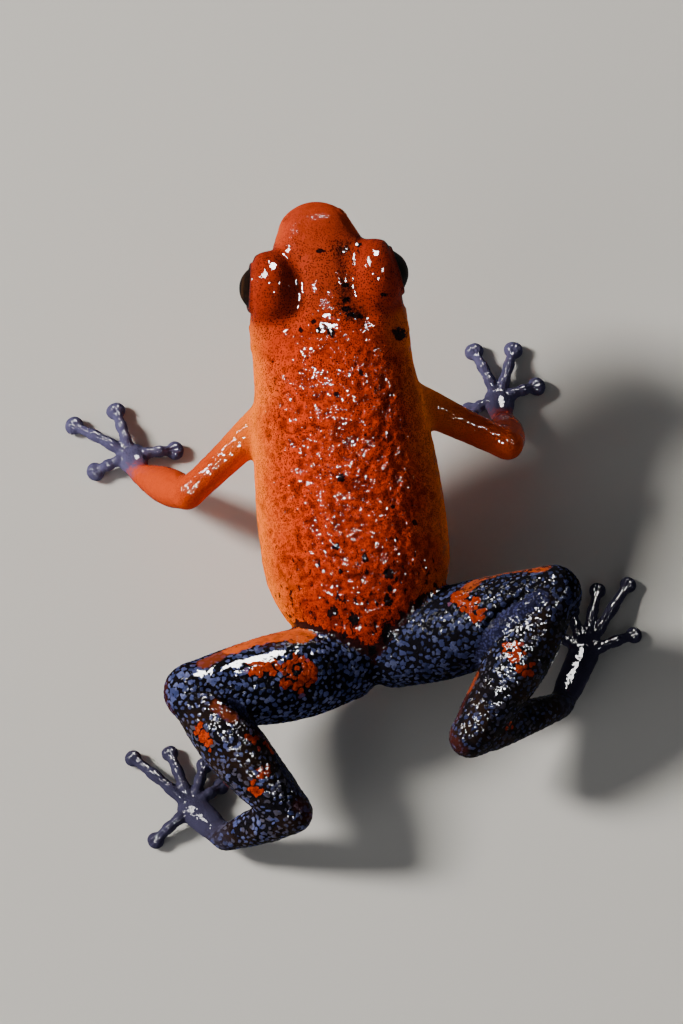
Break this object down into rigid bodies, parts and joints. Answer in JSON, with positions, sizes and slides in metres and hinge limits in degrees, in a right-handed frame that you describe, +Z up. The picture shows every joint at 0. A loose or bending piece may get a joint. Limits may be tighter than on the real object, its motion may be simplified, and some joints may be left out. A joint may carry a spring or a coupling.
{
  "type": "strawberry poison dart frog model",
  "caption": "Life-size still model of a small orange-red frog with dark blue legs, standing on four spread limbs with its head raised.",
  "frame": {"origin": "on the floor, under the middle of the frog's bounding box", "axes": "+Z up, the frog faces -Y and its left side is towards +X"},
  "size_m": [0.0246, 0.0266, 0.011],
  "materials": {
    "head_skin": "moist orange-red skin with fine dark stipple",
    "body_skin": "moist, finely granular orange-red skin",
    "arm_skin": "smooth moist orange skin",
    "leg_skin": "black skin with blue granules and orange patches",
    "hand_and_foot_skin": "smooth blue-grey skin",
    "eye": "wet black"
  },
  "bodies": {
    "root": {"head": "head_skin", "torso": "body_skin", "left_eye": "eye", "right_eye": "eye", "left_upper_arm": "arm_skin", "right_upper_arm": "arm_skin", "left_forearm": "arm_skin", "right_forearm": "arm_skin", "left_hand": "hand_and_foot_skin", "right_hand": "hand_and_foot_skin", "left_thigh": "leg_skin", "right_thigh": "leg_skin", "left_shank": "leg_skin", "right_shank": "leg_skin", "left_tarsus": "leg_skin", "right_tarsus": "leg_skin", "left_foot": "hand_and_foot_skin", "right_foot": "hand_and_foot_skin"}
  },
  "joints": []
}
